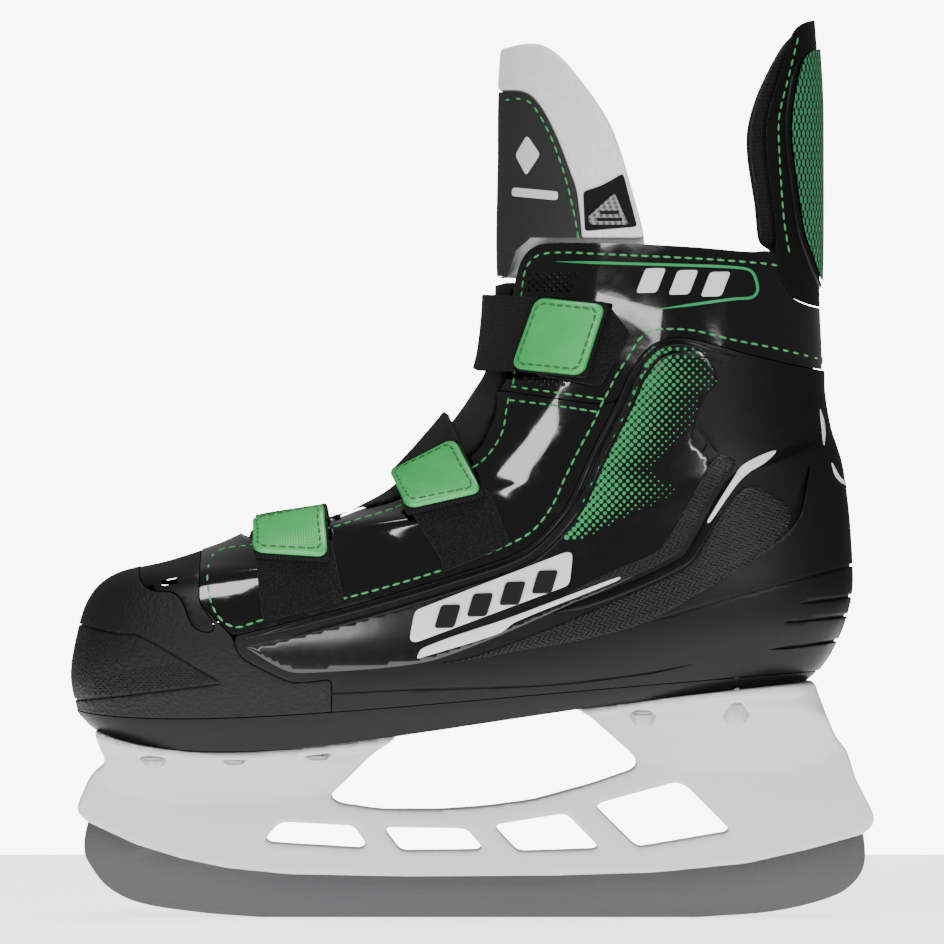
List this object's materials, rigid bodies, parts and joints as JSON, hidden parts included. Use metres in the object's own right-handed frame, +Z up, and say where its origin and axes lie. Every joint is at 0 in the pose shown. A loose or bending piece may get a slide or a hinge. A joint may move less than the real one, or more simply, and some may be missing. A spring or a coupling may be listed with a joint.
{
  "type": "ice hockey skate",
  "caption": "Child's left ice hockey skate: moulded boot with hook-and-loop straps, free tongue, flexing tendon guard, and a white blade holder with a steel runner.",
  "frame": {"origin": "centre of the box's base: on the ice, under the middle of the skate", "axes": "+Z up from the ice, +X from the toe to the heel, +Y towards the inner (medial) side of a left foot"},
  "size_m": [0.2206, 0.077, 0.2463],
  "materials": {
    "cap_plastic": "pebble-grained moulded plastic, black",
    "vent_plastic": "smooth moulded plastic, black",
    "shell_plastic": "moulded synthetic upper, black, satin to gloss with raised panels",
    "patent": "patent synthetic leather, black, high gloss",
    "guard_plastic": "flexible moulded plastic, black, satin",
    "guard_mesh": "printed mesh, green",
    "pad_fabric": "brushed knitted lining over foam, black",
    "sole_plastic": "moulded outsole, black, satin",
    "board_fibre": "pressed fibre board, brown",
    "bed_foam": "fabric-faced foam footbed, dark grey",
    "lining": "brushed lining over foam, black",
    "tongue_fabric": "padded woven tongue, matte black",
    "felt": "pressed felt, white",
    "cover_leather": "fine-grained synthetic cover, dark grey",
    "label_cloth": "woven label, silver grey",
    "webbing": "woven strap webbing, black",
    "loop_pile": "napped loop tape, black",
    "tab_plastic": "moulded pull tab with a fine woven texture, green",
    "blade_steel": "ground stainless steel runner",
    "holder_plastic": "moulded plastic, white, satin gloss",
    "rivet_steel": "plated steel rivet",
    "zinc_steel": "zinc-plated steel"
  },
  "bodies": {
    "boot": {"toe_cap": "cap_plastic", "toe_vent_plate": "vent_plastic", "lower_shell": "shell_plastic", "vamp": "patent", "ankle_quarter": "patent", "outsole": "sole_plastic", "lasting_board": "board_fibre", "footbed": "bed_foam", "boot_liner": "lining", "tongue_lower": "tongue_fabric", "steel_runner": "blade_steel", "blade_holder": "holder_plastic", "runner_stud_front": "zinc_steel", "runner_stud_rear": "zinc_steel", "runner_nut_front": "zinc_steel", "runner_nut_rear": "zinc_steel", "toe_strap_anchor": "webbing", "toe_loop_patch": "loop_pile", "middle_strap_anchor": "webbing", "middle_loop_patch": "loop_pile", "ankle_strap_anchor": "webbing", "ankle_loop_patch": "loop_pile", "rivet_outer_1": "rivet_steel", "rivet_inner_1": "rivet_steel", "rivet_outer_2": "rivet_steel", "rivet_inner_2": "rivet_steel", "rivet_outer_3": "rivet_steel", "rivet_inner_3": "rivet_steel", "rivet_outer_4": "rivet_steel", "rivet_inner_4": "rivet_steel", "rivet_outer_5": "rivet_steel", "rivet_inner_5": "rivet_steel"},
    "toe_band": {"toe_strap": "webbing"},
    "toe_tip": {"toe_strap_tip": "webbing", "toe_pull_tab": "tab_plastic"},
    "middle_band": {"middle_strap": "webbing"},
    "middle_tip": {"middle_strap_tip": "webbing", "middle_pull_tab": "tab_plastic"},
    "ankle_band": {"ankle_strap": "webbing"},
    "ankle_tip": {"ankle_strap_tip": "webbing", "ankle_pull_tab": "tab_plastic"},
    "tongue_top": {"tongue_felt": "felt", "tongue_cover": "cover_leather", "size_label": "label_cloth"},
    "guard": {"tendon_guard": "guard_plastic", "guard_mesh_insert": "guard_mesh", "achilles_pad": "pad_fabric"}
  },
  "joints": [
    {"name": "toe_strap_swing", "type": "hinge", "parent": "boot", "child": "toe_band", "pos_m": [-0.0495, 0.03511, 0.09986], "axis": [-0.973, -0.2152, 0.0835], "range_deg": [0, 150]},
    {"name": "toe_tip_peel", "type": "hinge", "parent": "toe_band", "child": "toe_tip", "pos_m": [-0.05032, -0.01559, 0.11059], "axis": [-0.925, 0.3354, -0.1784], "range_deg": [0, 50]},
    {"name": "middle_strap_swing", "type": "hinge", "parent": "boot", "child": "middle_band", "pos_m": [-0.00724, 0.03305, 0.11461], "axis": [-0.9714, 0, -0.2373], "range_deg": [0, 150]},
    {"name": "middle_tip_peel", "type": "hinge", "parent": "middle_band", "child": "middle_tip", "pos_m": [-0.01341, -0.0137, 0.12585], "axis": [-0.7643, 0.5111, -0.3932], "range_deg": [0, 50]},
    {"name": "ankle_strap_swing", "type": "hinge", "parent": "boot", "child": "ankle_band", "pos_m": [0.03423, 0.03098, 0.159], "axis": [-0.2772, -0.026, -0.9605], "range_deg": [0, 150]},
    {"name": "ankle_tip_peel", "type": "hinge", "parent": "ankle_band", "child": "ankle_tip", "pos_m": [0.01478, -0.02084, 0.16115], "axis": [-0.3291, 0.1552, -0.9315], "range_deg": [0, 50]},
    {"name": "tongue_flex", "type": "hinge", "parent": "boot", "child": "tongue_top", "pos_m": [0.0055, 0, 0.1749], "axis": [0, -1, 0], "range_deg": [0, 30], "stiffness_Nm_per_rad": 0.08},
    {"name": "guard_flex", "type": "hinge", "parent": "boot", "child": "guard", "pos_m": [0.0962, 0, 0.167], "axis": [0, 1, 0], "range_deg": [0, 14], "stiffness_Nm_per_rad": 0.4}
  ]
}
